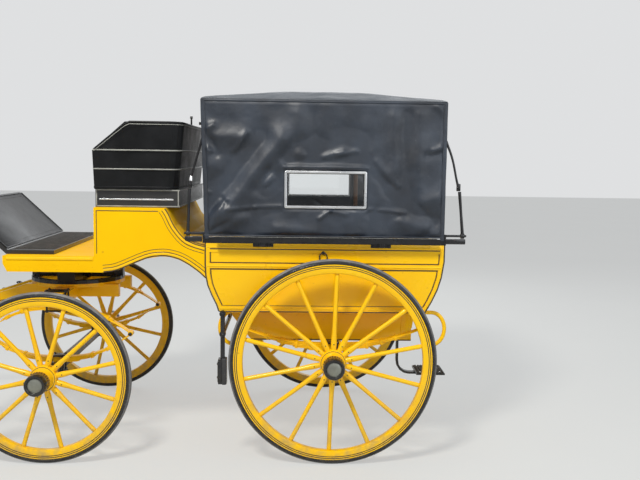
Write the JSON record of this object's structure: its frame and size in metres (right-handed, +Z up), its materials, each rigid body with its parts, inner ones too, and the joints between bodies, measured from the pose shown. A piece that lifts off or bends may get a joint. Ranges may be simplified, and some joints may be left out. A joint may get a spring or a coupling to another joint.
{
  "type": "horse drawn wagonette",
  "caption": "Yellow four-wheeled wagonette for one horse, with a folding black leather head, rear door and shafts.",
  "frame": {"origin": "on the ground under the middle of the whole length, from the shafts' tips to the rear step", "axes": "+X to the rear, +Y to the carriage's right side, +Z up; the shafts point to -X"},
  "size_m": [4.8486, 1.73, 2.008],
  "materials": {
    "yellow": "gloss yellow coach paint with dark coach lines, dulled by dust",
    "leather": "black head leather with a bluish sheen",
    "iron": "gloss black paint on forged iron",
    "rubber": "matt black solid tyre, dusty at the tread",
    "wood": "varnished brown wood",
    "cloth": "dark blue cushion cloth, buttoned",
    "silver": "plated window frame",
    "glass": "clear pane"
  },
  "bodies": {
    "carriage_body": {"body_front": "yellow", "body_side_left": "yellow", "body_side_right": "yellow", "boot": "yellow", "brake_gear": "iron", "driver_cushion": "leather", "driver_seat": "leather", "footboard": "iron", "footwell": "yellow", "head_rest_rail_left": "iron", "head_rest_rail_right": "iron", "head_sill_left": "iron", "head_sill_right": "iron", "rear_axle": "iron", "rear_quarter_left": "yellow", "rear_quarter_right": "yellow", "rear_spring_left": "yellow", "rear_spring_right": "yellow", "rear_step": "iron", "scroll_iron_left": "yellow", "scroll_iron_right": "yellow", "seat_box_left": "wood", "seat_box_right": "wood", "seat_cushion_left": "cloth", "seat_cushion_right": "cloth", "seat_riser": "iron", "upper_turntable": "iron"},
    "rear_door": {"rear_door": "yellow"},
    "rear_left_wheel": {"rear_wheel_left": "yellow", "rear_tyre_left": "rubber"},
    "rear_right_wheel": {"rear_wheel_right": "yellow", "rear_tyre_right": "rubber"},
    "fore_carriage": {"lower_turntable": "yellow", "front_axle": "iron", "front_spring_left": "yellow", "front_spring_right": "yellow", "splinter_bar": "iron"},
    "front_left_wheel": {"front_wheel_left": "yellow", "front_tyre_left": "rubber"},
    "front_right_wheel": {"front_wheel_right": "yellow", "front_tyre_right": "rubber"},
    "shafts": {"shaft_left": "yellow", "shaft_right": "yellow", "shaft_crossbar": "yellow"},
    "head_left_side": {"head_side_left": "leather", "head_side_frame_left": "iron", "window_frame_left": "silver", "window_glass_left": "glass"},
    "head_left_roof": {"head_roof_left": "leather", "head_roof_frame_left": "wood"},
    "head_right_side": {"head_side_right": "leather", "head_side_frame_right": "iron", "window_frame_right": "silver", "window_glass_right": "glass"},
    "head_right_roof": {"head_roof_right": "leather", "head_roof_frame_right": "wood"}
  },
  "joints": [
    {"name": "rear_left_spin", "type": "hinge", "parent": "carriage_body", "child": "rear_left_wheel", "pos_m": [1.7093, -0.71, 0.55], "axis": [0, 1, 0], "continuous": true},
    {"name": "rear_right_spin", "type": "hinge", "parent": "carriage_body", "child": "rear_right_wheel", "pos_m": [1.7093, 0.71, 0.55], "axis": [0, 1, 0], "continuous": true},
    {"name": "steering", "type": "hinge", "parent": "carriage_body", "child": "fore_carriage", "pos_m": [0.1993, 0, 0.88], "axis": [0, 0, 1], "range_deg": [-75, 75]},
    {"name": "front_left_spin", "type": "hinge", "parent": "fore_carriage", "child": "front_left_wheel", "pos_m": [0.1993, -0.71, 0.457], "axis": [0, 1, 0], "continuous": true},
    {"name": "front_right_spin", "type": "hinge", "parent": "fore_carriage", "child": "front_right_wheel", "pos_m": [0.1993, 0.71, 0.457], "axis": [0, 1, 0], "continuous": true},
    {"name": "shafts_lift", "type": "hinge", "parent": "fore_carriage", "child": "shafts", "pos_m": [-0.4057, 0, 0.7], "axis": [0, 1, 0], "range_deg": [0, 60]},
    {"name": "rear_door_swing", "type": "hinge", "parent": "carriage_body", "child": "rear_door", "pos_m": [2.3233, 0.2625, 0.9], "axis": [0, 0, 1], "range_deg": [0, 105]},
    {"name": "head_left_fold", "type": "hinge", "parent": "carriage_body", "child": "head_left_side", "pos_m": [1.7093, -0.583, 1.215], "axis": [1, 0, 0], "range_deg": [0, 85]},
    {"name": "roof_left_fold", "type": "hinge", "parent": "head_left_side", "child": "head_left_roof", "pos_m": [1.7093, -0.574, 1.88], "axis": [1, 0, 0], "range_deg": [-90, 0]},
    {"name": "head_right_fold", "type": "hinge", "parent": "carriage_body", "child": "head_right_side", "pos_m": [1.7093, 0.583, 1.215], "axis": [-1, 0, 0], "range_deg": [0, 85]},
    {"name": "roof_right_fold", "type": "hinge", "parent": "head_right_side", "child": "head_right_roof", "pos_m": [1.7093, 0.574, 1.88], "axis": [-1, 0, 0], "range_deg": [-90, 0]}
  ],
  "couplings": [
    {"joint": "roof_left_fold", "follows": "head_left_fold", "ratio": -1.0588},
    {"joint": "roof_right_fold", "follows": "head_right_fold", "ratio": -1.0588}
  ]
}
